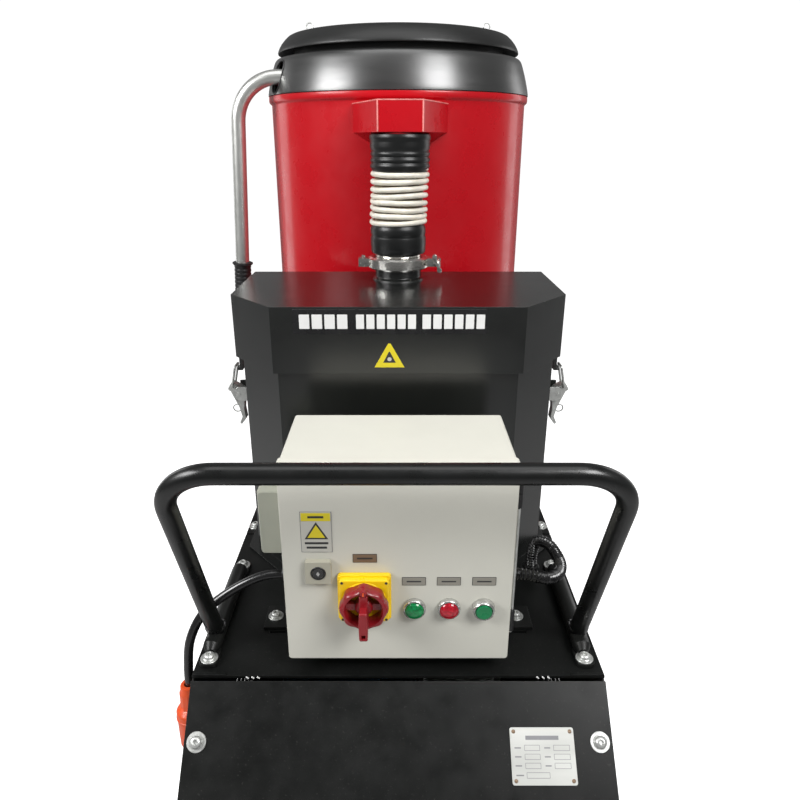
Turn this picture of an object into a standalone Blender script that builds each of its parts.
"""Three-phase industrial dust extractor for floor grinding and sanding work, modelled in metres.

The frame: +Z up, origin on the floor under the middle of the machine. The operator stands at -Y,
the filter drum is at +Y. Left and right are as the operator sees them, so right is +X. The sizes
below count Y from a datum under the blower housing, and the last step moves the whole machine by
MIDDLE_Y so that the origin is under the middle of its outline.
"""

import math

import bmesh
import bpy
from mathutils import Matrix, Vector

GAP = 0.0004  # clearance between pieces that rest on each other
MIDDLE_Y = 0.05625  # the middle of the machine's length, counted from the datum
SHEET = 0.0025  # thickness of folded sheet steel

# Chassis
RAIL_OUT, RAIL_IN = 0.285, 0.250  # outer and inner side of the two rails
RAIL_LOW, RAIL_TOP = 0.150, 0.200
RAIL_BACK, RAIL_FRONT = -0.552, 0.650
REAR_WHEEL_R, REAR_WHEEL_Y, REAR_WHEEL_X, REAR_WHEEL_W = 0.125, -0.380, 0.330, 0.048
AXLE_R = 0.010
CASTOR_R, CASTOR_X, CASTOR_Y, CASTOR_TRAIL, CASTOR_W = 0.0625, 0.2675, 0.600, 0.035, 0.032

# Blower housing and deck
DECK_TOP, DECK_THICK = 0.640, 0.004
DECK_HALF_W, DECK_BACK, DECK_FRONT = 0.285, -0.419, 0.080
SLOPE = 0.130  # the cover slopes at 45 degrees, so this is both its run and its drop
COVER_Y, COVER_Z = -0.423, 0.6365  # the cover's top edge
COVER_BOLT_X, COVER_BOLT_RUN = 0.268, 0.053
BLOWER_Z, BLOWER_Y, BLOWER_X = 0.400, -0.230, 0.090
BLOWER_R, IMPELLER_R, MOTOR_R, SHAFT_R = 0.150, 0.110, 0.090, 0.012

# Outlet hood
HOOD_MIDDLE = 0.003  # it stands a little to the right of the hose

# Push handle
HANDLE_R, HANDLE_X, HANDLE_MIDDLE, HANDLE_BEND = 0.0125, 0.265, -0.002, 0.065
HANDLE_FOOT_Y, HANDLE_BAR_Y, HANDLE_BAR_Z = -0.341, -0.495, 0.991

# Control box
BOX_HALF, BOX_LOW, BOX_DOOR_Y, BOX_DEPTH, DOOR_DEPTH = 0.150, 0.664, -0.4125, 0.157, 0.015
BOX_TOP = BOX_LOW + 2 * BOX_HALF
HINGE_X, HINGE_Y = BOX_HALF + 0.0046, BOX_DOOR_Y + DOOR_DEPTH + 0.001
SWITCH_X, SWITCH_Z, SWITCH_PLATE, SWITCH_PLATE_DEPTH = -0.044, 0.771, 0.070, 0.0165
LOCK_X, LOCK_Z, LOCK_SIDE = -0.103, 0.8095, 0.032
LAMP_Z, LAMP_GREEN_X, LAMP_RED_X, BUTTON_X = 0.750, 0.0214, 0.0673, 0.113

# Fine filter box and its lid
HEPA_HALF, HEPA_FRONT_HALF, HEPA_Y, HEPA_CORNER_Y, HEPA_BACK_Y = 0.263, 0.188, -0.190, -0.104, 0.092
LID_LOW, LID_TOP, LID_OVERHANG = 1.002, 1.104, 0.011
BODY_RIM = 1.088
LATCH_Y, LATCH_PIVOT_X, LATCH_PIVOT_Z = -0.060, 0.270, 0.928
BAIL_X, BAIL_Z, BAIL_BAR_X, BAIL_BAR_Z, WIRE_R = 0.282, 0.937, 0.2745, 0.974, 0.002

# Hose between the drum and the fine filter box
HOSE_Y, HOSE_R, PIPE_R = 0.025, 0.0475, 0.038
HOSE_TOP, HOSE_LOW = 1.339, 1.150
CLAMP_R, CLAMP_LOW, CLAMP_TOP, CLAMP_HINGE_X, CLAMP_BOLT_X = 0.0520, 1.1235, 1.1437, -0.060, 0.066
FLANGE_Z = (CLAMP_LOW + CLAMP_TOP) / 2  # where the two pipe flanges meet

# Filter drum
DRUM_Y, DRUM_R, RIM_R, DRUM_WALL = 0.358, 0.255, 0.260, 0.0025
DRUM_LOW, DRUM_TOP = 0.7125, 1.409
ROUND = 40  # steps of the drum, its ring and its lid
THROAT_R = 0.200
LEVER_Y, LEVER_Z, LEVER_X, LEVER_R, LEVER_PIVOT_X = 0.240, 1.439, -0.3005, 0.01345, -0.120
LEVER_END_X, LEVER_END_Z = -0.319, 1.085

# Dust bin and its lift
BIN_R, BIN_LOW, BIN_TOP = 0.215, 0.235, 0.6995
CRADLE_LOW, CRADLE_TOP, LIFT_SHAFT_Z, LIFT_SHAFT_R = 0.215, 0.2346, 0.178, 0.009
LIFT = 0.025  # how far the lift lever lowers the bin


# ---------------------------------------------------------------- tools


def clear_scene():
    for obj in list(bpy.data.objects):
        bpy.data.objects.remove(obj)


def collection(name):
    made = bpy.data.collections.new(name)
    bpy.context.scene.collection.children.link(made)
    return made


def material(name, colour, roughness, metallic):
    made = bpy.data.materials.new(name)
    made.use_nodes = True
    shader = made.node_tree.nodes["Principled BSDF"]
    shader.inputs["Base Color"].default_value = (*colour, 1)
    shader.inputs["Roughness"].default_value = roughness
    shader.inputs["Metallic"].default_value = metallic
    return made


def keep(obj, name):
    """Names an object, moves it into the machine's collection and shades its round faces smooth."""
    obj.name = name
    for owner in list(obj.users_collection):
        owner.objects.unlink(obj)
    MACHINE.objects.link(obj)
    if obj.type == "MESH":
        obj.data.shade_smooth()
        obj.data.set_sharp_from_angle(angle=math.radians(35))
    return obj


def paint(obj, slot):
    obj.data.materials.clear()
    obj.data.materials.append(MATERIALS[slot])
    return obj


def as_mesh(obj):
    """A curve turned into a mesh of its own, with its loose caps welded on."""
    graph = bpy.context.evaluated_depsgraph_get()
    mesh = bpy.data.meshes.new_from_object(obj.evaluated_get(graph))
    edit = bmesh.new()
    edit.from_mesh(mesh)
    bmesh.ops.remove_doubles(edit, verts=edit.verts, dist=0.00001)
    bmesh.ops.recalc_face_normals(edit, faces=edit.faces)
    edit.to_mesh(mesh)
    edit.free()
    solid = bpy.data.objects.new(obj.name, mesh)
    solid.matrix_world = obj.matrix_world.copy()
    bpy.data.objects.remove(obj)
    return solid


def block(name, low, high):
    """A box between two opposite corners."""
    bpy.ops.mesh.primitive_cube_add(size=1)
    obj = bpy.context.object
    size = Vector(high) - Vector(low)
    obj.data.transform(Matrix.Diagonal((*size, 1)))
    obj.location = (Vector(low) + Vector(high)) / 2
    return keep(obj, name)


def rod(name, radius, start, end, sides=20):
    """A round bar from one point to another."""
    start, end = Vector(start), Vector(end)
    bpy.ops.mesh.primitive_cylinder_add(vertices=sides, radius=radius, depth=(end - start).length)
    obj = bpy.context.object
    obj.location = (start + end) / 2
    obj.rotation_mode = "QUATERNION"
    obj.rotation_quaternion = (end - start).to_track_quat("Z", "Y")
    return keep(obj, name)


def turned(name, profile, at=(0, 0, 0), steps=40, closed=True, axis="Z"):
    """A turned solid. The profile holds (radius, height) points, down the outside and up the inside."""
    mesh = bpy.data.meshes.new(name)
    points = [(radius, 0, height) for radius, height in profile]
    edges = [(i, i + 1) for i in range(len(points) - 1)]
    if closed:
        edges.append((len(points) - 1, 0))
    mesh.from_pydata(points, edges, [])
    obj = bpy.data.objects.new(name, mesh)
    screw = obj.modifiers.new("turn", "SCREW")
    screw.steps = screw.render_steps = steps
    screw.use_merge_vertices = True
    screw.merge_threshold = 0.00001
    obj.location = at
    if axis == "Y":  # the profile's heights then run towards -Y
        obj.rotation_euler = (math.radians(90), 0, 0)
    if axis == "X":  # the profile's heights then run towards +X
        obj.rotation_euler = (0, math.radians(90), 0)
    return keep(obj, name)


def prism(name, outline, low, high, axis="Z"):
    """A flat outline given a thickness from low to high along an axis.

    The outline holds (x, y) for axis Z, (y, z) for axis X and (x, z) for axis Y.
    """
    curve = bpy.data.curves.new(name, "CURVE")
    curve.dimensions = "2D"
    curve.fill_mode = "BOTH"
    curve.extrude = (high - low) / 2
    spline = curve.splines.new("POLY")
    spline.points.add(len(outline) - 1)
    for point, (a, b) in zip(spline.points, outline):
        point.co = (a, b, 0, 1)
    spline.use_cyclic_u = True
    obj = bpy.data.objects.new(name, curve)
    bpy.context.scene.collection.objects.link(obj)
    middle = (low + high) / 2
    turns = {
        "Z": Matrix.Translation((0, 0, middle)),
        "Y": Matrix.Translation((0, middle, 0)) @ Matrix.Rotation(math.radians(90), 4, "X"),
        "X": Matrix.Translation((middle, 0, 0)) @ Matrix(((0, 0, 1, 0), (1, 0, 0, 0), (0, 1, 0, 0), (0, 0, 0, 1))),
    }
    obj.matrix_world = turns[axis]
    bpy.context.view_layer.update()
    return keep(as_mesh(obj), name)


def tube(name, points, radius, roundness=2):
    """A solid round wire or pipe along straight pieces. Its bends are given as points of their own."""
    curve = bpy.data.curves.new(name, "CURVE")
    curve.dimensions = "3D"
    curve.bevel_depth = radius
    curve.bevel_resolution = roundness
    curve.use_fill_caps = True
    spline = curve.splines.new("POLY")
    spline.points.add(len(points) - 1)
    for point, place in zip(spline.points, points):
        point.co = (*place, 1)
    obj = bpy.data.objects.new(name, curve)
    bpy.context.scene.collection.objects.link(obj)
    bpy.context.view_layer.update()
    return keep(as_mesh(obj), name)


def rounded(points, radius, steps=6):
    """The same path with each inner corner replaced by an arc."""
    points = [Vector(p) for p in points]
    path = [points[0]]
    for before, corner, after in zip(points, points[1:], points[2:]):
        a, b = (before - corner).normalized(), (after - corner).normalized()
        half = a.angle(b) / 2
        reach = radius / math.tan(half)
        centre = corner + (a + b).normalized() * (radius / math.sin(half))
        start, end = corner + a * reach - centre, corner + b * reach - centre
        sweep = start.angle(end)
        for i in range(steps + 1):
            t = i / steps
            arm = (start * math.sin((1 - t) * sweep) + end * math.sin(t * sweep)) / math.sin(sweep)
            path.append(centre + arm)
    path.append(points[-1])
    return path


def apply_tools(obj, tools, operation):
    for tool in tools:
        step = obj.modifiers.new(operation.lower(), "BOOLEAN")
        step.operation = operation
        step.object = tool
        MACHINE.objects.unlink(tool)
        CUTTERS.objects.link(tool)
        tool.hide_render = True
        tool.display_type = "WIRE"
    return obj


def cut(obj, *tools):
    return apply_tools(obj, tools, "DIFFERENCE")


def join(obj, *tools):
    return apply_tools(obj, tools, "UNION")


# ---------------------------------------------------------------- chassis


def base_frame():
    """Two rails, cross members, the posts and ring that carry the drum, axle and castor brackets."""
    frame = block("base_frame", (RAIL_IN, RAIL_BACK, RAIL_LOW), (RAIL_OUT, RAIL_FRONT, RAIL_TOP))
    extra = [block("left_rail", (-RAIL_OUT, RAIL_BACK, RAIL_LOW), (-RAIL_IN, RAIL_FRONT, RAIL_TOP))]
    for name, y in (("back", RAIL_BACK), ("middle", 0.085)):
        extra.append(block(name + "_cross", (-RAIL_IN - 0.01, y, 0.155), (RAIL_IN + 0.01, y + 0.04, 0.195)))
    ring_profile = [(0.205, 0.712), (0.268, 0.712), (0.268, 0.700), (0.205, 0.700)]
    ring = turned("ring", ring_profile, (0, DRUM_Y, 0), 32)
    for side in (-1, 1):
        inner, outer = sorted((side * 0.262, side * RAIL_OUT))
        post = ((inner, DRUM_Y - 0.03, RAIL_TOP - 0.01), (outer, DRUM_Y + 0.03, 0.712))
        extra.append(block("post", *post))
        axle_block = ((inner, REAR_WHEEL_Y - 0.025, 0.100), (outer, REAR_WHEEL_Y + 0.025, RAIL_LOW + 0.01))
        extra.append(block("axle_block", *axle_block))
    extra.append(ring)
    join(frame, *extra)
    axle_hole = rod("axle_hole", AXLE_R + GAP, (-0.4, REAR_WHEEL_Y, REAR_WHEEL_R), (0.4, REAR_WHEEL_Y, REAR_WHEEL_R))
    lift_hole = rod("lift_hole", LIFT_SHAFT_R + GAP, (-0.4, DRUM_Y, LIFT_SHAFT_Z), (0.4, DRUM_Y, LIFT_SHAFT_Z))
    hollows = []
    for side in (-1, 1):
        low, high = sorted((side * (RAIL_IN - 0.001), side * (RAIL_OUT - 0.005)))
        for start, end in ((-0.49, 0.05), (0.15, 0.32), (0.40, 0.55)):
            hollows.append(block("rail_hollow", (low, start, RAIL_LOW + 0.006), (high, end, RAIL_TOP - 0.006)))
    return paint(cut(frame, axle_hole, lift_hole, *hollows), "black_paint")


def rear_axle():
    reach = REAR_WHEEL_X + REAR_WHEEL_W / 2 + 0.010
    start, end = (-reach, REAR_WHEEL_Y, REAR_WHEEL_R), (reach, REAR_WHEEL_Y, REAR_WHEEL_R)
    axle = rod("rear_axle", AXLE_R, start, end, 20)
    caps = []
    for side in (-1, 1):
        low, high = sorted((side * (reach - 0.007), side * (reach - 0.001)))
        caps.append(rod("cap", 0.018, (low, *start[1:]), (high, *start[1:]), 20))
    return paint(join(axle, *caps), "zinc")


def rear_wheel(side, label):
    """A pressed rim with a hub bore, and the solid rubber tyre that sits in its channel."""
    at = (side * REAR_WHEEL_X, REAR_WHEEL_Y, REAR_WHEEL_R)
    half = REAR_WHEEL_W / 2
    bore, hub, seat, flange = AXLE_R + GAP, 0.026, 0.082, 0.090
    rim_profile = [
        (bore, half), (hub, half), (hub, 0.006), (seat - 0.006, 0.006), (seat, half - 0.004), (flange, half - 0.004),
        (flange, 0.004 - half), (seat, 0.004 - half), (seat - 0.006, -0.006), (hub, -0.006), (hub, -half), (bore, -half),
    ]
    rim = turned("rear_rim_" + label, rim_profile, at, 24, axis="X")
    inner, outer = flange + GAP, REAR_WHEEL_R
    tyre_profile = [
        (inner, half - 0.002), (outer - 0.010, half - 0.002), (outer, half - 0.012),
        (outer, 0.012 - half), (outer - 0.010, 0.002 - half), (inner, 0.002 - half),
    ]
    tyre = turned("rear_tyre_" + label, tyre_profile, at, 24, axis="X")
    return paint(rim, "grey_plastic"), paint(tyre, "rubber")


def castor(side, label):
    """A swivel fork with its axle, and a wheel that trails behind the swivel axis."""
    x, y = side * CASTOR_X, CASTOR_Y
    wheel_y = y - CASTOR_TRAIL
    top = RAIL_LOW - GAP
    fork = rod("castor_fork_" + label, 0.028, (x, y, top - 0.016), (x, y, top), 20)
    half_w = CASTOR_W / 2 + 0.003
    crown = block("crown", (x - half_w - 0.004, y - 0.060, top - 0.020), (x + half_w + 0.004, y + 0.022, top - 0.015))
    cheeks = []
    outline = [
        (y + 0.022, top - 0.016), (y - 0.060, top - 0.016), (wheel_y - 0.013, CASTOR_R - 0.002),
        (wheel_y - 0.006, CASTOR_R - 0.013), (wheel_y + 0.006, CASTOR_R - 0.013), (wheel_y + 0.013, CASTOR_R - 0.002),
    ]
    for edge in (-half_w - 0.004, half_w):
        cheeks.append(prism("cheek", outline, x + edge, x + edge + 0.004, "X"))
    axle = rod("axle", 0.005, (x - half_w - 0.008, wheel_y, CASTOR_R), (x + half_w + 0.008, wheel_y, CASTOR_R), 12)
    join(fork, crown, *cheeks, axle)
    half = CASTOR_W / 2
    profile = [
        (0.0055, half), (0.018, half), (0.022, half - 0.006), (0.044, half - 0.006), (0.050, half - 0.001),
        (CASTOR_R - 0.004, half - 0.001), (CASTOR_R, half - 0.006), (CASTOR_R, 0.006 - half),
        (CASTOR_R - 0.004, 0.001 - half), (0.018, -half), (0.0055, -half),
    ]
    wheel = turned("castor_wheel_" + label, profile, (x, wheel_y, CASTOR_R), 20, axis="X")
    return paint(fork, "zinc"), paint(wheel, "rubber")


# ---------------------------------------------------------------- blower housing


def housing_shell():
    """The folded tub round the blower: left, right, front and bottom walls. Deck and cover close it."""
    low, top = RAIL_TOP + GAP, DECK_TOP - DECK_THICK - GAP
    foot, front = COVER_Y - SLOPE + 0.0006, DECK_FRONT - 0.002
    back = top - (COVER_Z - COVER_Y) + 3 * SHEET / math.sqrt(2) - 0.0011
    side = [(back, top), (foot, top - back + foot), (foot, low), (front, low), (front, top)]
    shell = prism("housing_shell", side, -DECK_HALF_W + 0.0005, DECK_HALF_W - 0.0005, "X")
    inside = [
        (foot - 0.1, top + 0.1), (foot - 0.1, low + SHEET), (front - SHEET, low + SHEET), (front - SHEET, top + 0.1),
    ]
    hollow = prism("hollow", inside, SHEET - DECK_HALF_W, DECK_HALF_W - SHEET, "X")
    vents = []
    for wall in (-DECK_HALF_W, DECK_HALF_W):
        for i in range(6):
            z = 0.33 + i * 0.022
            vents.append(block("vent", (wall - 0.01, -0.30, z), (wall + 0.01, -0.12, z + 0.007)))
    cord = rod("cord_hole", 0.02, (0, front - 0.02, 0.3), (0, front + 0.02, 0.3))
    return paint(cut(shell, hollow, cord, *vents), "black_paint")


def deck_plate():
    """The flat top of the housing, with its slots and the holes for the duct and the conduit."""
    deck = block("deck_plate", (-DECK_HALF_W, DECK_BACK, DECK_TOP - DECK_THICK), (DECK_HALF_W, DECK_FRONT, DECK_TOP))
    low, high = DECK_TOP - 0.02, DECK_TOP + 0.02
    cutters = [rod("duct_hole", 0.047, (0, -0.05, low), (0, -0.05, high), 24)]
    cutters.append(rod("conduit_hole", 0.0125, (0.225, -0.185, low), (0.225, -0.185, high), 16))
    for side in (-1, 1):
        for x, y in ((0.181, -0.330), (0.274, -0.060)):
            start, end = sorted((side * (x - 0.012), side * (x + 0.012)))
            cutters.append(block("slot", (start, y - 0.002, low), (end, y + 0.002, high)))
    return paint(cut(deck, *cutters), "black_paint")


def sloped_cover():
    """The operator-side access cover: a 45 degree slope, then straight down, with its two screw holes."""
    foot, low = COVER_Y - SLOPE, RAIL_TOP - 0.015
    diagonal = SHEET / math.sqrt(2)
    knee = SHEET - diagonal
    outline = [
        (COVER_Y - diagonal, COVER_Z), (foot - diagonal, COVER_Z - SLOPE), (foot - SHEET, COVER_Z - SLOPE - knee),
        (foot - SHEET, low), (foot, low), (foot, COVER_Z - SLOPE - diagonal), (COVER_Y, COVER_Z - diagonal),
    ]
    cover = prism("sloped_cover", outline, -DECK_HALF_W, DECK_HALF_W, "X")
    holes = []
    for side in (-1, 1):
        middle = cover_point(side * COVER_BOLT_X, COVER_BOLT_RUN)
        reach = Vector((0, -0.02, 0.02))
        holes.append(rod("bolt_hole", 0.0045, middle - reach, middle + reach, 12))
    return paint(cut(cover, *holes), "black_paint")


def cover_point(x, run):
    """A point on the outer face of the slope, this far out from its top edge."""
    return Vector((x, COVER_Y - SHEET / math.sqrt(2) - run, COVER_Z - run))


def nameplate():
    """A thin plate riveted to the slope."""
    plate = block("nameplate", (-0.0425, -0.034, -0.0005), (0.0425, 0.034, 0.0005))
    plate.data.transform(Matrix.Rotation(math.radians(45), 4, "X"))
    outward = Vector((0, -1, 1)).normalized()
    plate.location = cover_point(0.191, 0.0645) + outward * (0.0005 + GAP)
    return paint(plate, "aluminium")


def blower():
    """A side-channel blower: casing with cover, impeller on its shaft, and the motor."""
    centre = (BLOWER_X, BLOWER_Y, BLOWER_Z)
    wall = 0.012
    casing_profile = [
        (SHAFT_R + 0.002, 0.075), (BLOWER_R - 0.012, 0.075), (BLOWER_R, 0.063), (BLOWER_R, -0.050),
        (SHAFT_R + 0.002, -0.050), (SHAFT_R + 0.002, wall - 0.050), (BLOWER_R - wall, wall - 0.050),
        (BLOWER_R - wall, 0.063), (SHAFT_R + 0.002, 0.063),
    ]
    casing = turned("blower_casing", casing_profile, centre, 24, axis="X")
    foot_low, foot_high = RAIL_TOP + GAP + SHEET + GAP, BLOWER_Z - BLOWER_R + 0.006
    feet = block("feet", (BLOWER_X - 0.05, BLOWER_Y - 0.11, foot_low), (BLOWER_X + 0.06, BLOWER_Y + 0.11, foot_high))
    neck_x = BLOWER_X + 0.012
    neck = rod("neck", 0.05, (neck_x, BLOWER_Y, BLOWER_Z + 0.136), (neck_x, BLOWER_Y, BLOWER_Z + 0.19), 24)
    bore = rod("neck_bore", 0.041, (neck_x, BLOWER_Y, BLOWER_Z + 0.125), (neck_x, BLOWER_Y, BLOWER_Z + 0.2), 24)
    vent = rod("exhaust", 0.030, (neck_x, BLOWER_Y + 0.12, BLOWER_Z), (neck_x, BLOWER_Y + 0.2, BLOWER_Z), 20)
    cut(join(casing, feet, neck), bore, vent)
    impeller_profile = [
        (SHAFT_R + GAP, 0.040), (0.035, 0.040), (0.040, 0.012), (IMPELLER_R, 0.012), (IMPELLER_R + 0.02, 0.020),
        (IMPELLER_R + 0.02, -0.020), (IMPELLER_R, -0.012), (0.040, -0.012), (0.035, -0.030), (SHAFT_R + GAP, -0.030),
    ]
    impeller = turned("blower_impeller", impeller_profile, centre, 20, axis="X")
    start = BLOWER_X - 0.060
    motor_profile = [
        (SHAFT_R + 0.002, start + 0.0), (0.070, start), (MOTOR_R, start - 0.02), (MOTOR_R, start - 0.20),
        (0.080, start - 0.225), (0.040, start - 0.225), (SHAFT_R + 0.002, start - 0.225),
    ]
    motor = turned("blower_motor", motor_profile, (0, BLOWER_Y, BLOWER_Z), 20, axis="X")
    box_z = BLOWER_Z + MOTOR_R
    box = block("terminals", (start - 0.15, BLOWER_Y - 0.045, box_z - 0.012), (start - 0.06, BLOWER_Y + 0.045, box_z + 0.04))
    base = block("base", (start - 0.19, BLOWER_Y - 0.08, foot_low), (start - 0.03, BLOWER_Y + 0.08, BLOWER_Z - MOTOR_R + 0.008))
    join(motor, box, base)
    shaft = rod("rotor_shaft", SHAFT_R, (start - 0.24, BLOWER_Y, BLOWER_Z), (BLOWER_X + 0.058, BLOWER_Y, BLOWER_Z), 20)
    paint(casing, "aluminium")
    paint(impeller, "aluminium")
    paint(motor, "motor_paint")
    return paint(shaft, "zinc")


def suction_duct():
    """A stub under the deck and a flat box that carries the air over to the blower's neck."""
    neck_x = BLOWER_X + 0.012
    top, low = DECK_TOP - DECK_THICK - GAP, BLOWER_Z + 0.190 + GAP
    duct = block("suction_duct", (-0.05, BLOWER_Y - 0.052, low), (neck_x + 0.052, 0.0, low + 0.040))
    hollow = block("duct_hollow", (-0.047, BLOWER_Y - 0.049, low + 0.003), (neck_x + 0.049, -0.003, low + 0.037))
    collar = rod("collar", 0.045, (0, -0.05, low + 0.02), (0, -0.05, top + 0.003), 24)
    way_in = rod("way_in", 0.041, (0, -0.05, low + 0.02), (0, -0.05, top + 0.02), 24)
    way_out = rod("way_out", 0.041, (neck_x, BLOWER_Y, low - 0.02), (neck_x, BLOWER_Y, low + 0.02), 24)
    return paint(cut(join(duct, collar), hollow, way_in, way_out), "galvanised")


# ---------------------------------------------------------------- push handle


def push_handle():
    """A U of tube leaning towards the operator, welded to two lying tubes with flattened ends."""
    lean = (HANDLE_BAR_Y - HANDLE_FOOT_Y) / (HANDLE_BAR_Z - DECK_TOP)
    start_z = DECK_TOP + GAP + HANDLE_R
    start_y = HANDLE_FOOT_Y + lean * (start_z - DECK_TOP)
    corners = [
        (HANDLE_MIDDLE - HANDLE_X, start_y, start_z), (HANDLE_MIDDLE - HANDLE_X, HANDLE_BAR_Y, HANDLE_BAR_Z),
        (HANDLE_MIDDLE + HANDLE_X, HANDLE_BAR_Y, HANDLE_BAR_Z), (HANDLE_MIDDLE + HANDLE_X, start_y, start_z),
    ]
    handle = tube("push_handle", rounded(corners, HANDLE_BEND, 5), HANDLE_R, 3)
    extra, holes = [], []
    for side in (-1, 1):
        x = HANDLE_MIDDLE + side * HANDLE_X
        extra.append(tube("lying", [(x, -0.378, start_z), (x, -0.190, start_z)], HANDLE_R, 3))
        for y, end in ((-0.378, -0.405), (-0.190, -0.156)):
            near, far = sorted((y - math.copysign(0.006, end - y), end))
            extra.append(block("tab", (x - 0.012, near, DECK_TOP + GAP), (x + 0.012, far, DECK_TOP + GAP + 0.006)))
            hole_y = end - math.copysign(0.013, end - y)
            holes.append(rod("tab_hole", 0.0045, (x, hole_y, DECK_TOP - 0.01), (x, hole_y, DECK_TOP + 0.02), 10))
    return paint(cut(join(handle, *extra), *holes), "gloss_black")


# ---------------------------------------------------------------- control box


def on_door(x, z, depth=0.0):
    """A point that stands this far out from the door's face."""
    return Vector((x, BOX_DOOR_Y - depth, z))


def knuckle(name, low, high):
    return rod(name, 0.0040, (HINGE_X, HINGE_Y, low), (HINGE_X, HINGE_Y, high), 12)


def hinge_bore(low, high):
    return rod("hinge_bore", 0.0020 + GAP, (HINGE_X, HINGE_Y, low), (HINGE_X, HINGE_Y, high), 10)


HINGE_SPANS = ((0.700, 0.715, 0.735), (0.893, 0.913, 0.928))  # low, meeting height and high of each hinge


def control_box():
    """The enclosure behind the door, its bracket on the deck and its fixed hinge knuckles."""
    front, back = BOX_DOOR_Y + DOOR_DEPTH + GAP, BOX_DOOR_Y + BOX_DEPTH
    half = BOX_HALF - 0.002
    box = block("control_box", (-half, front, BOX_LOW + 0.002), (half, back, BOX_TOP - 0.002))
    hollow = block("hollow", (0.002 - half, front - 0.01, BOX_LOW + 0.004), (half - 0.002, back - 0.002, BOX_TOP - 0.004))
    cut(box, hollow)
    extra = []
    for side in (-1, 1):
        inner, outer = sorted((side * 0.140, side * 0.200))
        extra.append(block("foot", (inner, -0.325, DECK_TOP + GAP), (outer, -0.275, DECK_TOP + 0.005)))
        inner, outer = sorted((side * 0.140, side * 0.146))
        extra.append(block("leg", (inner, -0.325, DECK_TOP + GAP), (outer, -0.275, BOX_LOW + 0.003)))
    low_hinge, high_hinge = HINGE_SPANS
    fixed = ((low_hinge[0], low_hinge[1] - GAP), (high_hinge[1] + GAP, high_hinge[2]))
    for low, high in fixed:
        extra.append(block("web", (half - 0.001, HINGE_Y + 0.0005, low), (HINGE_X, HINGE_Y + 0.004, high)))
        extra.append(knuckle("knuckle", low, high))
    join(box, *extra)
    bores = [hinge_bore(low - 0.001, high + 0.001) for low, high in fixed]
    ways = [rod("gland_hole", 0.010, (side * 0.13, -0.33, 0.745), (side * 0.16, -0.33, 0.745), 14) for side in (-1, 1)]
    return paint(cut(box, *bores, *ways), "box_paint")


def control_door():
    """A folded tray with holes for its lock, switch, lamps and button, and the moving hinge knuckles."""
    low, high = on_door(-BOX_HALF, BOX_LOW), on_door(BOX_HALF, BOX_TOP, -DOOR_DEPTH)
    door = block("control_door", low, high)
    edge = 0.002
    hollow = block(
        "tray", (edge - BOX_HALF, low.y + edge, BOX_LOW + edge), (BOX_HALF - edge, high.y + 0.01, BOX_TOP - edge)
    )
    cut(door, hollow)
    low_hinge, high_hinge = HINGE_SPANS
    spans = ((low_hinge[1] + GAP, low_hinge[2]), (high_hinge[0], high_hinge[1] - GAP))
    parts = []
    for start, end in spans:
        parts.append(block("web", (BOX_HALF - 0.001, HINGE_Y - 0.006, start), (HINGE_X, HINGE_Y - 0.002, end)))
        parts.append(knuckle("knuckle", start, end))
    join(door, *parts)
    cutters = [hinge_bore(start - 0.001, end + 0.001) for start, end in spans]
    for x, z, radius in (
        (LOCK_X, LOCK_Z, 0.0085), (SWITCH_X, SWITCH_Z, 0.010), (LAMP_GREEN_X, LAMP_Z, 0.0112),
        (LAMP_RED_X, LAMP_Z, 0.0112), (BUTTON_X, LAMP_Z, 0.0112),
    ):
        cutters.append(rod("hole", radius, on_door(x, z, 0.01), on_door(x, z, -0.01), 16))
    return paint(cut(door, *cutters), "box_paint")


def door_hinge_pin():
    low, high = HINGE_SPANS[0][0] - 0.003, HINGE_SPANS[1][2] + 0.003
    return paint(rod("door_hinge_pin", 0.0020, (HINGE_X, HINGE_Y, low), (HINGE_X, HINGE_Y, high), 10), "zinc")


def door_lock():
    """The square lock case on the door, and the barrel with its cam behind the door."""
    half = LOCK_SIDE / 2
    case = block("door_lock_case", on_door(LOCK_X - half, LOCK_Z - half, 0.0085), on_door(LOCK_X + half, LOCK_Z + half, GAP))
    cut(case, rod("hole", 0.0074, on_door(LOCK_X, LOCK_Z, 0.02), on_door(LOCK_X, LOCK_Z, -0.02), 20))
    barrel = rod("door_lock_barrel", 0.0070, on_door(LOCK_X, LOCK_Z, 0.0095), on_door(LOCK_X, LOCK_Z, -0.012), 20)
    cam = block("cam", on_door(LOCK_X - 0.036, LOCK_Z - 0.006, -0.0095), on_door(LOCK_X + 0.006, LOCK_Z + 0.006, -0.012))
    slot = block("key_slot", on_door(LOCK_X - 0.0012, LOCK_Z - 0.004, 0.02), on_door(LOCK_X + 0.0012, LOCK_Z + 0.004, 0.006))
    cut(join(barrel, cam), slot)
    return paint(case, "box_paint"), paint(barrel, "chrome")


def scalloped(radius, lobes, depth, count):
    """A round outline with a wavy edge."""
    turn = [2 * math.pi * i / count for i in range(count)]
    return [
        (
            SWITCH_X + (radius + depth * math.cos(lobes * t)) * math.sin(t),
            SWITCH_Z + (radius + depth * math.cos(lobes * t)) * math.cos(t),
        )
        for t in turn
    ]


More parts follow.
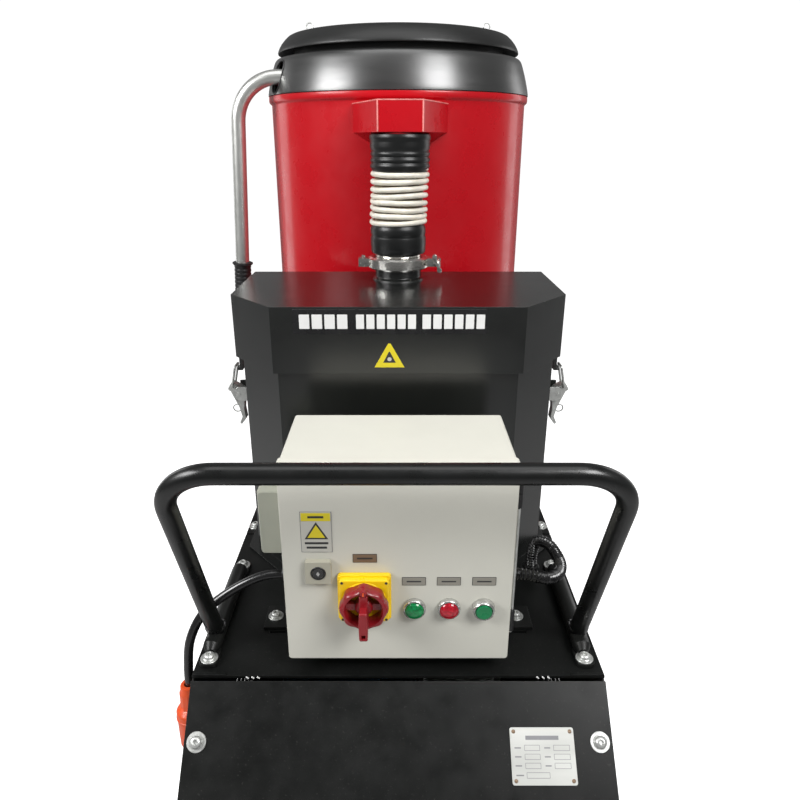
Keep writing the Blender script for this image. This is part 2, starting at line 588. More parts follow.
def main_switch():
    """The square plate, and the rotary ring handle with its grip bar and shaft."""
    half, face = SWITCH_PLATE / 2, BOX_DOOR_Y - SWITCH_PLATE_DEPTH
    plate = block("switch_plate", (SWITCH_X - half, face, SWITCH_Z - half), (SWITCH_X + half, BOX_DOOR_Y - GAP, SWITCH_Z + half))
    bevel = plate.modifiers.new("bevel", "BEVEL")
    bevel.width = 0.003
    bevel.segments = 1
    cut(plate, rod("hole", 0.0075, (SWITCH_X, face - 0.01, SWITCH_Z), (SWITCH_X, 0, SWITCH_Z), 16))
    near = face - 0.001
    knob = prism("switch_knob", scalloped(0.0295, 8, 0.0015, 48), near - 0.018, near, "Y")
    bowl = rod("bowl", 0.0225, (SWITCH_X, near - 0.05, SWITCH_Z), (SWITCH_X, near - 0.004, SWITCH_Z), 28)
    cut(knob, bowl)
    bar = block("bar", (SWITCH_X - 0.0055, near - 0.034, SWITCH_Z - 0.036), (SWITCH_X + 0.0055, near - 0.002, SWITCH_Z + 0.024))
    pointer = rod("pointer", 0.0045, (SWITCH_X, near - 0.020, SWITCH_Z + 0.029), (SWITCH_X, near - 0.001, SWITCH_Z + 0.029), 10)
    shaft = rod("shaft", 0.0065, (SWITCH_X, near - 0.003, SWITCH_Z), (SWITCH_X, BOX_DOOR_Y + 0.03, SWITCH_Z), 16)
    join(knob, bar, pointer, shaft)
    return paint(plate, "yellow_plastic"), paint(knob, "red_plastic")


def lamp(name, x, slot):
    """A panel lamp: domed lens, bezel and the stem that goes through the door."""
    profile = [
        (0, 0.0135), (0.0060, 0.0130), (0.0100, 0.0112), (0.0122, 0.0086), (0.0138, 0.0080), (0.01525, 0.0048),
        (0.01525, GAP), (0.0105, GAP), (0.0105, -0.030), (0, -0.030),
    ]
    return paint(turned(name, profile, on_door(x, LAMP_Z), 18, closed=False, axis="Y"), slot)


def push_button():
    """The bezel with its nut behind the door, and the cap and stem that travel through it."""
    bezel_profile = [
        (0.0110, 0.0095), (0.0118, 0.0110), (0.0138, 0.0100), (0.01525, 0.0048), (0.01525, GAP),
        (0.0108, GAP), (0.0108, -0.020), (0.0085, -0.020), (0.0085, 0.0030), (0.0110, 0.0030),
    ]
    bezel = turned("button_bezel", bezel_profile, on_door(BUTTON_X, LAMP_Z), 18, axis="Y")
    cap_profile = [
        (0, 0.0125), (0.0090, 0.0125), (0.0105, 0.0112), (0.0105, 0.0080), (0.0080, 0.0080), (0.0080, -0.024), (0, -0.024),
    ]
    cap = turned("push_button", cap_profile, on_door(BUTTON_X, LAMP_Z), 18, closed=False, axis="Y")
    return paint(bezel, "chrome"), paint(cap, "green_plastic")


def terminal_box():
    """The plastic connection box on the left side of the enclosure."""
    right = -(BOX_HALF - 0.002) - GAP
    box = block("terminal_box", (right - 0.042, -0.352, 0.7935), (right, -0.290, 0.892))
    bevel = box.modifiers.new("bevel", "BEVEL")
    bevel.width = 0.004
    bevel.segments = 2
    return paint(box, "grey_green_plastic")


def contactor():
    """The motor contactor on the back wall of the enclosure."""
    back = BOX_DOOR_Y + BOX_DEPTH - 0.002 - GAP
    obj = block("contactor", (-0.03, back - 0.085, 0.84), (0.045, back, 0.93))
    steps = [block("step", (-0.04, back - 0.10, z), (0.06, back - 0.055, z + 0.025)) for z in (0.83, 0.915)]
    return paint(cut(obj, *steps), "grey_plastic")


# ---------------------------------------------------------------- fine filter box


def hepa_outline(inset):
    """The plan of the box: a rectangle whose two corners on the operator's side are cut off."""
    half, narrow = HEPA_HALF - inset, HEPA_FRONT_HALF - inset * 0.45
    near, corner, far = HEPA_Y + inset, HEPA_CORNER_Y + inset * 0.4, HEPA_BACK_Y - inset
    return [(-narrow, near), (narrow, near), (half, corner), (half, far), (-half, far), (-half, corner)]


def latch_bracket(side):
    """Two ears on the side wall, with bores for the pin of the latch lever."""
    ears = []
    for y in (-0.0195, 0.0165):
        inner, outer = sorted((side * (HEPA_HALF - LID_OVERHANG - 0.0015), side * (LATCH_PIVOT_X + 0.005)))
        ears.append(block("ear", (inner, LATCH_Y + y, 0.916), (outer, LATCH_Y + y + 0.003, 0.940)))
    start, end = (side * LATCH_PIVOT_X, LATCH_Y - 0.03, LATCH_PIVOT_Z), (side * LATCH_PIVOT_X, LATCH_Y + 0.03, LATCH_PIVOT_Z)
    return ears, rod("ear_bore", 0.0030 + GAP, start, end, 10)


def hepa_body():
    """The open box that holds the fine filter, with its foot flange, filter ledges and latch ears."""
    low = DECK_TOP + GAP
    body = prism("hepa_body", hepa_outline(LID_OVERHANG), low, BODY_RIM)
    hollow = prism("hollow", hepa_outline(LID_OVERHANG + SHEET), low + SHEET, BODY_RIM + 0.05)
    cut(body, hollow)
    flange = prism("flange", hepa_outline(-0.006), low, low + 0.004)
    trim = block("trim", (-0.4, DECK_FRONT + 0.002, low - 0.01), (0.4, 0.3, low + 0.01))
    flange_hollow = prism("flange_hollow", hepa_outline(LID_OVERHANG + 0.001), low - 0.01, low + 0.02)
    cut(flange, trim, flange_hollow)
    extra, bores = [flange], []
    for side in (-1, 1):
        wall = HEPA_HALF - LID_OVERHANG - 0.001
        inner, outer = sorted((side * 0.200, side * wall))
        extra.append(block("ledge", (inner, -0.085, 0.885), (outer, 0.070, 0.8990)))
        ears, bore = latch_bracket(side)
        extra += ears
        bores.append(bore)
    join(body, *extra)
    way = rod("duct_way", 0.041, (0, -0.05, low - 0.02), (0, -0.05, low + 0.02), 24)
    return paint(cut(body, way, *bores), "black_paint")


def hepa_lid():
    """The folded lid with the pipe stub for the hose and a hooked strap for each latch."""
    lid = prism("hepa_lid", hepa_outline(0), LID_LOW, LID_TOP)
    cut(lid, prism("hollow", hepa_outline(SHEET), LID_LOW - 0.01, LID_TOP - SHEET))
    face = FLANGE_Z - LID_TOP - GAP / 2
    stub_profile = [
        (0.0355, face), (0.0455, face), (0.0455, face - 0.0025), (0.0395, face - 0.006), (0.0395, 0.006),
        (0.0440, 0.002), (0.0440, -0.001), (0.0355, -0.001),
    ]
    stub = turned("stub", stub_profile, (0, HOSE_Y, LID_TOP), 24)
    extra = [stub]
    for side in (-1, 1):
        inner, outer = sorted((side * (HEPA_HALF - 0.001), side * (HEPA_HALF + 0.004)))
        extra.append(block("strap", (inner, LATCH_Y - 0.010, 0.967), (outer, LATCH_Y + 0.010, 1.051)))
        inner, outer = sorted((side * (HEPA_HALF + 0.003), side * (HEPA_HALF + 0.0085)))
        extra.append(block("hook", (inner, LATCH_Y - 0.010, 0.967), (outer, LATCH_Y + 0.010, 0.9715)))
    join(lid, *extra)
    bore = rod("stub_bore", 0.036, (0, HOSE_Y, LID_TOP - 0.02), (0, HOSE_Y, LID_TOP + 0.04), 24)
    return paint(cut(lid, bore), "black_paint")


def hepa_gasket():
    """The sponge seal on the rim of the box, pressed down by the lid."""
    low, high = BODY_RIM + GAP, LID_TOP - SHEET - GAP
    gasket = prism("hepa_gasket", hepa_outline(0.006), low, high)
    return paint(cut(gasket, prism("hollow", hepa_outline(0.018), low - 0.01, high + 0.01)), "rubber")


def hepa_filter():
    """The pleated fine filter pack on its two ledges."""
    half, low, high, pleats, depth = 0.215, 0.8995, 1.045, 12, 0.012
    width = 2 * (half - 0.010) / pleats
    top, bottom = [(half, high), (half - 0.010, high)], [(-half, low), (-half + 0.010, low)]
    for i in range(pleats):
        x = half - 0.010 - width * i
        top += [(x - width / 2, high - depth), (x - width, high)]
        bottom += [(-x + width / 2, low + depth), (-x + width, low)]
    outline = top + [(-half, high)] + bottom + [(half, low)]
    return paint(prism("hepa_filter", outline, -0.085, 0.070, "Y"), "filter_paper")


def latch(side, label):
    """The over-centre lever with its pin, and the wire bail that pulls the lid's strap down."""
    pivot = Vector((side * LATCH_PIVOT_X, 0, LATCH_PIVOT_Z))
    outline = [
        (0.263, 0.922), (0.266, 0.896), (0.264, 0.878), (0.272, 0.868), (0.275, 0.871), (0.270, 0.882),
        (0.274, 0.900), (0.286, 0.928), (0.288, 0.939), (0.283, 0.9435), (0.270, 0.936), (0.264, 0.931),
    ]
    outline = [(side * x, z) for x, z in outline]
    lever = prism("latch_lever_" + label, outline, LATCH_Y - 0.0092, LATCH_Y + 0.0092, "Y")
    pin = rod("pin", 0.0030, pivot + Vector((0, LATCH_Y - 0.021, 0)), pivot + Vector((0, LATCH_Y + 0.021, 0)), 10)
    start, end = (side * BAIL_X, LATCH_Y - 0.02, BAIL_Z), (side * BAIL_X, LATCH_Y + 0.02, BAIL_Z)
    cut(join(lever, pin), rod("eye", WIRE_R + GAP, start, end, 10))
    reach = 0.0125
    corners = [
        (side * BAIL_X, LATCH_Y - 0.002, BAIL_Z), (side * BAIL_X, LATCH_Y - reach, BAIL_Z),
        (side * BAIL_BAR_X, LATCH_Y - reach, BAIL_BAR_Z), (side * BAIL_BAR_X, LATCH_Y + reach, BAIL_BAR_Z),
        (side * BAIL_X, LATCH_Y + reach, BAIL_Z), (side * BAIL_X, LATCH_Y + 0.002, BAIL_Z),
    ]
    bail = tube("latch_bail_" + label, rounded(corners, 0.0015, 2), WIRE_R * 0.95, 2)
    return paint(lever, "zinc"), paint(bail, "zinc")


# ---------------------------------------------------------------- hose and pipe clamp


def hose():
    """A flexible hose with plain cuffs; the ribs of its middle stretch stand for the spiral."""
    bore, cuff, ribs, pitch = PIPE_R + 0.0006, HOSE_R, 8, 0.0105
    upper, lower = 1.2816, 1.1945
    outer = [(bore, HOSE_TOP), (cuff - 0.004, HOSE_TOP), (cuff, HOSE_TOP - 0.006), (cuff, upper)]
    for i in range(ribs):
        z = upper - 0.0025 - i * pitch
        outer += [(cuff - 0.005, z), (cuff, z - pitch * 0.5)]
    outer += [(cuff - 0.001, lower), (cuff - 0.001, HOSE_LOW + 0.006), (cuff - 0.005, HOSE_LOW), (bore, HOSE_LOW)]
    return paint(turned("hose", outer, (0, HOSE_Y, 0), 20), "rubber")


def hose_ferrule():
    """The flanged steel stub inside the hose's lower cuff."""
    profile = [
        (0.036, 0.045), (PIPE_R, 0.045), (PIPE_R, 0.006), (0.0455, 0.0025), (0.0455, 0), (0.036, 0),
    ]
    return paint(turned("hose_ferrule", profile, (0, HOSE_Y, FLANGE_Z + GAP / 2), 24), "steel")


def half_ring(name, front):
    """One half of the clamp: a grooved half ring with a lug at each end."""
    low, high = CLAMP_LOW, CLAMP_TOP
    middle, inner, groove = FLANGE_Z, 0.0405, 0.0460
    profile = [
        (inner, high), (CLAMP_R - 0.004, high), (CLAMP_R, high - 0.003), (CLAMP_R, low + 0.003), (CLAMP_R - 0.004, low),
        (inner, low), (inner, middle - 0.0075), (groove, middle - 0.0034), (groove, middle + 0.0034),
        (inner, middle + 0.0075),
    ]
    ring = turned(name, profile, (0, HOSE_Y, 0), 24)
    direction = -1 if front else 1
    far = HOSE_Y - direction * 0.1
    near = HOSE_Y + direction * 0.0007
    low_y, high_y = sorted((near, far))
    cut(ring, block("other_half", (-0.1, low_y, low - 0.01), (0.1, high_y, high + 0.01)))
    lugs = []
    for start, end in ((-0.068, -0.049), (0.049, CLAMP_BOLT_X + 0.007)):
        y0, y1 = sorted((near, HOSE_Y + direction * 0.012))
        lugs.append(block("lug", (start, y0, low + 0.003), (end, y1, high - 0.003)))
    join(ring, *lugs)
    slot_end = HOSE_Y + (0.02 if front else 0.009)
    slot_low = (CLAMP_BOLT_X - 0.004, HOSE_Y - 0.02, middle - 0.0036)
    return cut(ring, block("bolt_slot", slot_low, (CLAMP_BOLT_X + 0.02, slot_end, middle + 0.0036)))


def pipe_clamp():
    """Two halves hinged on the left, with a swing bolt and wing nut on the right."""
    middle = FLANGE_Z
    rear, front = half_ring("clamp_rear_half", False), half_ring("clamp_front_half", True)
    left, x, y = (CLAMP_HINGE_X, HOSE_Y), CLAMP_BOLT_X, HOSE_Y + 0.0045
    post = rod("hinge_post", 0.0025, (*left, CLAMP_LOW + 0.001), (*left, CLAMP_TOP + 0.001), 10)
    hole = rod("hinge_hole", 0.0025 + GAP, (*left, CLAMP_LOW - 0.01), (*left, CLAMP_TOP + 0.01), 12)
    arm_low = (CLAMP_HINGE_X - 0.003, HOSE_Y - 0.001, CLAMP_TOP - 0.006)
    arm = block("arm", arm_low, (CLAMP_HINGE_X + 0.003, HOSE_Y + 0.004, CLAMP_TOP + 0.001))
    notch_low = (CLAMP_HINGE_X - 0.02, HOSE_Y - 0.006, CLAMP_TOP - 0.0065)
    notch = block("notch", notch_low, (CLAMP_HINGE_X + 0.0065, HOSE_Y + 0.02, CLAMP_TOP + 0.01))
    cut(front, hole, notch)
    bolt_pin = rod("bolt_pin", 0.0013, (x, y, middle - 0.006), (x, y, middle + 0.006), 8)
    join(rear, post, arm, bolt_pin)
    bolt = rod("clamp_bolt", 0.0030, (x, y, middle), (x, HOSE_Y - 0.034, middle), 12)
    eye = rod("eye", 0.0034, (x, y, middle - 0.0032), (x, y, middle + 0.0032), 12)
    cut(join(bolt, eye), rod("eye_hole", 0.0018, (x, y, middle - 0.01), (x, y, middle + 0.01), 8))
    nut_y = HOSE_Y - 0.0135
    nut = rod("clamp_wing_nut", 0.0060, (x, nut_y, middle), (x, nut_y - 0.009, middle), 12)
    wings = []
    for side in (-1, 1):
        wing = [
            (x - 0.003, middle + side * 0.004), (x + 0.003, middle + side * 0.004),
            (x + 0.0045, middle + side * 0.0145), (x - 0.0045, middle + side * 0.0145),
        ]
        wings.append(prism("wing", wing if side > 0 else wing[::-1], nut_y - 0.0115, nut_y - 0.003, "Y"))
    cut(join(nut, *wings), rod("thread", 0.0030 + GAP, (x, 0.1, middle), (x, -0.1, middle), 12))
    for piece in (rear, front, bolt, nut):
        paint(piece, "steel")


# ---------------------------------------------------------------- filter drum


def drum_shell():
    """The rolled drum with its rim, bottom flange, throat, air outlet opening and dust inlet pipe."""
    inner = DRUM_R - DRUM_WALL
    profile = [
        (inner, DRUM_TOP), (RIM_R - 0.003, DRUM_TOP), (RIM_R, DRUM_TOP - 0.003), (RIM_R, DRUM_TOP - 0.012),
        (DRUM_R, DRUM_TOP - 0.016), (DRUM_R, 0.735), (0.262, 0.735), (0.262, DRUM_LOW), (THROAT_R + 0.003, DRUM_LOW),
        (THROAT_R + 0.003, 0.700), (THROAT_R, 0.700), (THROAT_R, DRUM_LOW + 0.003), (inner, 0.740),
    ]
    drum = turned("drum_shell", profile, (0, DRUM_Y, 0), ROUND)
    inlet_start, inlet_end = (0.150, DRUM_Y + 0.10, 0.880), (0.150, DRUM_Y + 0.31, 0.880)
    join(drum, rod("inlet", PIPE_R, inlet_start, inlet_end, 20))
    core = rod("core", inner - 0.001, (0, DRUM_Y, 0.76), (0, DRUM_Y, 1.0), ROUND)
    bore = rod("inlet_bore", PIPE_R - 0.002, (0.150, DRUM_Y, 0.880), (0.150, DRUM_Y + 0.4, 0.880), 20)
    outlet = block("outlet", (-0.030, 0.05, 1.352), (0.030, 0.20, 1.386))
    return paint(cut(drum, core, bore, outlet), "red_paint")


def outlet_hood():
    """The welded hood over the air outlet: half a hexagon in plan, with a hopper bottom and a pipe stub."""
    wide, narrow, near, low, top = 0.083, 0.036, HOSE_Y - 0.040, 1.341, 1.3885
    reach = DRUM_Y - math.sqrt(DRUM_R**2 - wide**2)
    outline = [(-narrow, near), (narrow, near), (wide, reach), (wide, reach + 0.03), (-wide, reach + 0.03), (-wide, reach)]
    hood = prism("outlet_hood", [(HOOD_MIDDLE + x, y) for x, y in outline], low, top)
    hopper_low = low - 0.034
    drum_front = DRUM_Y - DRUM_R
    inset = [
        (-narrow + 0.0004, near + 0.001), (narrow - 0.0004, near + 0.001), (wide - 0.001, reach + 0.0004),
        (wide - 0.001, reach + 0.028), (-wide + 0.001, reach + 0.028), (-wide + 0.001, reach + 0.0004),
    ]
    skirt = prism("skirt", [(HOOD_MIDDLE + x, y) for x, y in inset], hopper_low, low + 0.001)
    fall = (low - hopper_low) / (drum_front + 0.02 - near)
    beyond = reach + 0.05
    under = prism(
        "under_cut",
        [(near - 0.02, low - 0.0002), (near - 0.02, hopper_low - 0.06), (beyond, hopper_low - 0.06),
         (beyond, low - 0.0002 - fall * (beyond - near - 0.002)), (near + 0.002, low - 0.0002)],
        -0.12, 0.12, "X",
    )
    cut(skirt, under)
    join(hood, skirt)
    cheeks = []
    for side in (-1, 1):
        edge = [(side * (wide + 0.004), low - 0.0002), (side * 0.036, hopper_low - 0.002), (side * 0.12, hopper_low - 0.002)]
        edge = [(HOOD_MIDDLE + x, z) for x, z in edge]
        cheeks.append(prism("cheek_cut", edge if side < 0 else edge[::-1], -0.05, 0.3, "Y"))
    wall = 0.0025
    inside = [
        (-narrow + wall, near + wall), (narrow - wall, near + wall), (wide - 2 * wall, reach - wall),
        (wide - 2 * wall, reach + 0.05), (-wide + 2 * wall, reach + 0.05), (-wide + 2 * wall, reach - wall),
    ]
    cavity = prism("cavity", [(HOOD_MIDDLE + x, y) for x, y in inside], low + wall, top - wall)
    drum_cut = rod("drum_cut", DRUM_R + 0.0012, (0, DRUM_Y, 1.2), (0, DRUM_Y, 1.5), 72)
    stub = rod("stub", PIPE_R, (0, HOSE_Y, low + 0.001), (0, HOSE_Y, HOSE_TOP - 0.045), 24)
    bore = rod("stub_bore", PIPE_R - 0.003, (0, HOSE_Y, low + 0.01), (0, HOSE_Y, HOSE_TOP - 0.06), 24)
    cut(hood, *cheeks)
    join(hood, stub)
    sleeve = turned(
        "sleeve_room", [(PIPE_R + 0.0001, HOSE_TOP + 0.0006), (HOSE_R + 0.0015, HOSE_TOP + 0.0006),
                        (HOSE_R + 0.0015, 1.25), (PIPE_R + 0.0001, 1.25)], (0, HOSE_Y, 0), 24,
    )
    return paint(cut(hood, sleeve, cavity, bore, drum_cut), "red_paint")


def head_ring():
    """The spun ring on the drum's rim, with the lid's neck, the lever slot and the lever's bearing plates."""
    low = DRUM_TOP + GAP
    profile = [
        (0.203, 1.5095), (0.206, 1.5095), (0.206, 1.4765), (0.2310, 1.4760), (0.2385, 1.4745), (0.2425, 1.4715),
        (0.2460, 1.4650), (0.2500, 1.4530), (0.2545, 1.4380), (0.2590, 1.4200), (0.2607, low), (0.2577, low),
        (0.2560, 1.4194), (0.2516, 1.4371), (0.2471, 1.4520), (0.2432, 1.4636), (0.2404, 1.4695), (0.2378, 1.4717),
        (0.2308, 1.4732), (0.203, 1.4738),
    ]
    ring = turned("head_ring", profile, (0, DRUM_Y, 0), ROUND)
    plates = [
        block("plate", (-0.172, LEVER_Y - 0.026, 1.424), (-0.104, LEVER_Y - 0.022, 1.4748)),
        block("plate", (-0.200, LEVER_Y + 0.022, 1.424), (-0.104, LEVER_Y + 0.026, 1.4748)),
    ]
    join(ring, *plates)
    half, radius = 0.0105, 0.0170
    slot = block("slot", (-0.30, LEVER_Y - radius, LEVER_Z - half), (-0.19, LEVER_Y + radius, LEVER_Z + half))
    ends = [
        rod("slot_end", radius, (-0.30, LEVER_Y, LEVER_Z + z), (-0.19, LEVER_Y, LEVER_Z + z), 16) for z in (-half, half)
    ]
    bearing = rod("bearing", 0.006 + GAP, (LEVER_PIVOT_X, 0.20, LEVER_Z), (LEVER_PIVOT_X, 0.28, LEVER_Z), 14)
    return paint(cut(ring, slot, *ends, bearing), "black_satin")


def drum_lid():
    """The spun lid: a flat crown, a sloping brim and a rolled edge."""
    profile = [
        (0, 1.5175), (0.2060, 1.5165), (0.2130, 1.5155), (0.2175, 1.5135), (0.2300, 1.5010), (0.2360, 1.4905),
        (0.2372, 1.4860), (0.2365, 1.4848), (0.2335, 1.4850), (0.2270, 1.4980), (0.2155, 1.5090), (0.2075, 1.5102), (0, 1.5102),
    ]
    return paint(turned("drum_lid", profile, (0, DRUM_Y, 0), ROUND, closed=False), "black_satin")


def shaker_lever():
    """The bent galvanised pipe that shakes the filter, on a trunnion pin, and its rubber grip."""
    start, corner = (0.012, LEVER_Y, LEVER_Z), (LEVER_X, LEVER_Y, LEVER_Z)
    end = (LEVER_END_X, LEVER_Y, LEVER_END_Z)
    lever = tube("shaker_lever", rounded([start, corner, end], 0.080, 8), LEVER_R, 4)
    pin = rod("trunnion", 0.006, (LEVER_PIVOT_X, LEVER_Y - 0.030, LEVER_Z), (LEVER_PIVOT_X, LEVER_Y + 0.030, LEVER_Z), 14)
    join(lever, pin)
    down = (Vector(end) - Vector(corner)).normalized()
    top = Vector(end) - down * 0.012
    grip = rod("shaker_grip", 0.0170, top, top + down * 0.125, 20)
    socket = rod("socket", LEVER_R + GAP, top - down * 0.01, Vector(end) + down * GAP, 20)
    return paint(lever, "galvanised"), paint(cut(grip, socket), "rubber")


def filter_cartridge():
    """The hanging pleated cartridge, with the plate and eye by which the lever shakes it."""
    pleats, outer, inner = 16, 0.165, 0.145
    outline = []
    for i in range(2 * pleats):
        turn = math.pi * i / pleats
        radius = outer if i % 2 else inner
        outline.append((radius * math.cos(turn), DRUM_Y + radius * math.sin(turn)))
    pack = prism("filter_cartridge", outline, 0.930, 1.322)
    top = rod("top_plate", 0.185, (0, DRUM_Y, 1.320), (0, DRUM_Y, 1.328), 32)
    foot = rod("foot_plate", 0.168, (0, DRUM_Y, 0.924), (0, DRUM_Y, 0.932), 32)
    eye = block("eye", (-0.003, LEVER_Y - 0.024, 1.322), (0.003, LEVER_Y + 0.024, 1.463))
    join(pack, top, foot, eye)
    hole = rod("eye_hole", LEVER_R + 0.0022, (-0.02, LEVER_Y, LEVER_Z), (0.02, LEVER_Y, LEVER_Z), 20)
    return paint(cut(pack, hole), "filter_paper")


# ---------------------------------------------------------------- dust bin


def dust_bin():
    """The open bin that seals against the underside of the drum's ring, with a pull handle."""
    wall = 0.0022
    profile = [
        (BIN_R - 0.008, BIN_TOP), (BIN_R + 0.008, BIN_TOP), (BIN_R + 0.008, BIN_TOP - 0.010), (BIN_R, BIN_TOP - 0.012),
        (BIN_R - 0.012, BIN_LOW + 0.004), (BIN_R - 0.020, BIN_LOW), (0, BIN_LOW), (0, BIN_LOW + wall),
        (BIN_R - 0.021, BIN_LOW + wall), (BIN_R - wall - 0.012, BIN_LOW + 0.006), (BIN_R - wall, BIN_TOP - 0.014),
        (BIN_R - 0.008, BIN_TOP - 0.012),
    ]
    outer = profile[:7]
    inner = profile[7:]
    bin_shell = turned("dust_bin", inner + outer, (0, DRUM_Y, 0), 32, closed=False)
    reach = DRUM_Y + 0.196
    path = [(-0.07, reach, 0.52), (-0.07, reach + 0.055, 0.52), (0.07, reach + 0.055, 0.52), (0.07, reach, 0.52)]
    return paint(join(bin_shell, tube("pull", rounded(path, 0.015, 3), 0.006, 2)), "black_satin")


def bin_cradle():
    """The fork that carries the bin and rises and falls with the lift lever."""
    parts = []
    for side in (-1, 1):
        x0, x1 = sorted((side * 0.120, side * 0.160))
        parts.append(block("bar", (x0, 0.150, CRADLE_LOW), (x1, 0.590, CRADLE_TOP)))
        x0, x1 = sorted((side * 0.150, side * 0.240))
        parts.append(block("ear", (x0, DRUM_Y - 0.03, CRADLE_LOW), (x1, DRUM_Y + 0.03, CRADLE_LOW + 0.010)))
    cradle = block("bin_cradle", (-0.155, 0.150, CRADLE_LOW), (0.155, 0.185, CRADLE_TOP))
    return paint(join(cradle, *parts), "black_paint")


def cam_outline():
    """A cam whose height under the cradle falls evenly by LIFT as it turns through 90 degrees."""
    high, fall, steps = CRADLE_LOW - GAP - LIFT_SHAFT_Z, LIFT / (math.pi / 2), 6
    outline = [(0.0116, -0.006), (-0.0116, -0.006), (-0.0159, 0.012)]
    for i in range(steps + 1):
        turn = i / steps * math.pi / 2
        height = high - fall * turn
        across = height * math.sin(turn) - fall * math.cos(turn)
        up = height * math.cos(turn) + fall * math.sin(turn)
        outline.append((across, up))
    return [(DRUM_Y + across, LIFT_SHAFT_Z + up) for across, up in outline]


def bin_lift_lever():
    """The lever on the right, its cross shaft through both rails, and the two cams under the cradle."""
    z, end = LIFT_SHAFT_Z, RAIL_OUT + 0.022
    lever = rod("bin_lift_lever", LIFT_SHAFT_R, (-RAIL_OUT - 0.004, DRUM_Y, z), (end, DRUM_Y, z), 16)
    parts = []
    for side in (-1, 1):
        x = side * 0.200
        parts.append(prism("cam", cam_outline(), x - 0.006, x + 0.006, "X"))
    arm_x = RAIL_OUT + 0.010
    parts.append(block("arm", (arm_x, DRUM_Y - 0.012, z - 0.014), (arm_x + 0.008, DRUM_Y + 0.012, z + 0.300)))
    parts.append(rod("knob", 0.014, (arm_x - 0.002, DRUM_Y, z + 0.285), (arm_x + 0.060, DRUM_Y, z + 0.285), 16))
    return paint(join(lever, *parts), "zinc")


# ---------------------------------------------------------------- cables


def power_cable():
    """The supply cord: out of the enclosure, across the deck, over its edge and down to the plug."""
    corners = [
        (-0.1515, -0.330, 0.745), (-0.200, -0.330, 0.740), (-0.300, -0.350, 0.675), (-0.313, -0.360, 0.560),
        (-0.313, -0.330, 0.530),
    ]
    path = rounded(corners[:4], 0.030, 4)
    cable = tube("power_cable", path, 0.0065, 2)
    gland = rod("gland", 0.010, (-0.1486, -0.330, 0.745), (-0.166, -0.330, 0.7445), 8)
    return paint(join(cable, gland), "rubber")


def power_plug():
    """The industrial plug that hangs beside the housing."""
    top = Vector((-0.313, -0.3600, 0.570))
    plug = rod("power_plug", 0.016, top, top - Vector((0, 0, 0.050)), 16)
    shell = rod("shell", 0.024, top - Vector((0, 0, 0.045)), top - Vector((0, 0, 0.110)), 20)
    mouth = rod("mouth", 0.021, top - Vector((0, 0, 0.075)), top - Vector((0, 0, 0.2)), 20)
    core = rod("core", 0.012, top - Vector((0, 0, 0.07)), top - Vector((0, 0, 0.104)), 12)
    cable_hole = rod("cable_hole", 0.0075, (-0.3119, -0.3590, 0.575), (-0.3132, -0.3602, 0.5585), 16)
    return paint(cut(join(cut(join(plug, shell), mouth), core), cable_hole), "orange_plastic")


def conduit():
    """The ribbed conduit from the right of the enclosure down through the deck to the motor."""
    corners = [
        (0.1486, -0.330, 0.745), (0.215, -0.325, 0.735), (0.262, -0.245, 0.700), (0.225, -0.185, 0.725),
        (0.225, -0.185, DECK_TOP + 0.001),
    ]
    path = rounded(corners, 0.020, 4)
    return paint(tube("conduit", path, 0.0095, 2), "rubber")


# ---------------------------------------------------------------- assembly

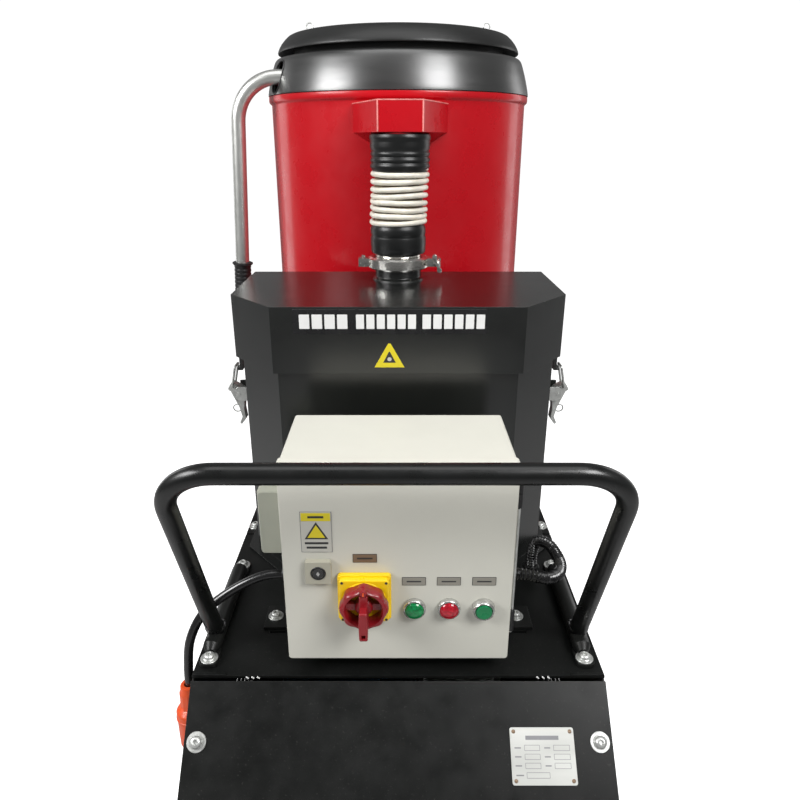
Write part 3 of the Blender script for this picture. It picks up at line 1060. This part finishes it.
clear_scene()
MACHINE = collection("dust_extractor")
CUTTERS = collection("cutters")
MATERIALS = {
    "black_paint": material("black_paint", (0.018, 0.019, 0.020), 0.45, 0.0),
    "gloss_black": material("gloss_black", (0.012, 0.012, 0.013), 0.22, 0.0),
    "black_satin": material("black_satin", (0.030, 0.031, 0.033), 0.35, 0.2),
    "red_paint": material("red_paint", (0.60, 0.010, 0.018), 0.15, 0.0),
    "box_paint": material("box_paint", (0.66, 0.64, 0.57), 0.50, 0.0),
    "grey_green_plastic": material("grey_green_plastic", (0.42, 0.43, 0.36), 0.55, 0.0),
    "grey_plastic": material("grey_plastic", (0.25, 0.25, 0.26), 0.50, 0.0),
    "motor_paint": material("motor_paint", (0.05, 0.12, 0.20), 0.40, 0.0),
    "yellow_plastic": material("yellow_plastic", (0.95, 0.62, 0.0), 0.35, 0.0),
    "red_plastic": material("red_plastic", (0.50, 0.015, 0.02), 0.30, 0.0),
    "green_plastic": material("green_plastic", (0.0, 0.25, 0.06), 0.30, 0.0),
    "green_lens": material("green_lens", (0.0, 0.30, 0.08), 0.10, 0.0),
    "red_lens": material("red_lens", (0.55, 0.0, 0.03), 0.10, 0.0),
    "orange_plastic": material("orange_plastic", (0.85, 0.12, 0.01), 0.35, 0.0),
    "rubber": material("rubber", (0.020, 0.020, 0.021), 0.60, 0.0),
    "filter_paper": material("filter_paper", (0.80, 0.78, 0.72), 0.90, 0.0),
    "aluminium": material("aluminium", (0.80, 0.80, 0.80), 0.35, 1.0),
    "galvanised": material("galvanised", (0.55, 0.56, 0.54), 0.40, 1.0),
    "steel": material("steel", (0.62, 0.60, 0.57), 0.25, 1.0),
    "zinc": material("zinc", (0.60, 0.62, 0.64), 0.30, 1.0),
    "chrome": material("chrome", (0.80, 0.80, 0.80), 0.10, 1.0),
}

base_frame()
rear_axle()
for side, label in ((-1, "left"), (1, "right")):
    rear_wheel(side, label)
    castor(side, label)
    latch(side, label)
housing_shell()
deck_plate()
sloped_cover()
nameplate()
blower()
suction_duct()
push_handle()
control_box()
control_door()
door_hinge_pin()
door_lock()
main_switch()
lamp("lamp_green", LAMP_GREEN_X, "green_lens")
lamp("lamp_red", LAMP_RED_X, "red_lens")
push_button()
terminal_box()
contactor()
hepa_body()
hepa_lid()
hepa_gasket()
hepa_filter()
hose()
hose_ferrule()
pipe_clamp()
drum_shell()
outlet_hood()
head_ring()
drum_lid()
shaker_lever()
filter_cartridge()
dust_bin()
bin_cradle()
bin_lift_lever()
power_cable()
power_plug()
conduit()

for obj in list(MACHINE.objects) + list(CUTTERS.objects):
    obj.location.y -= MIDDLE_Y
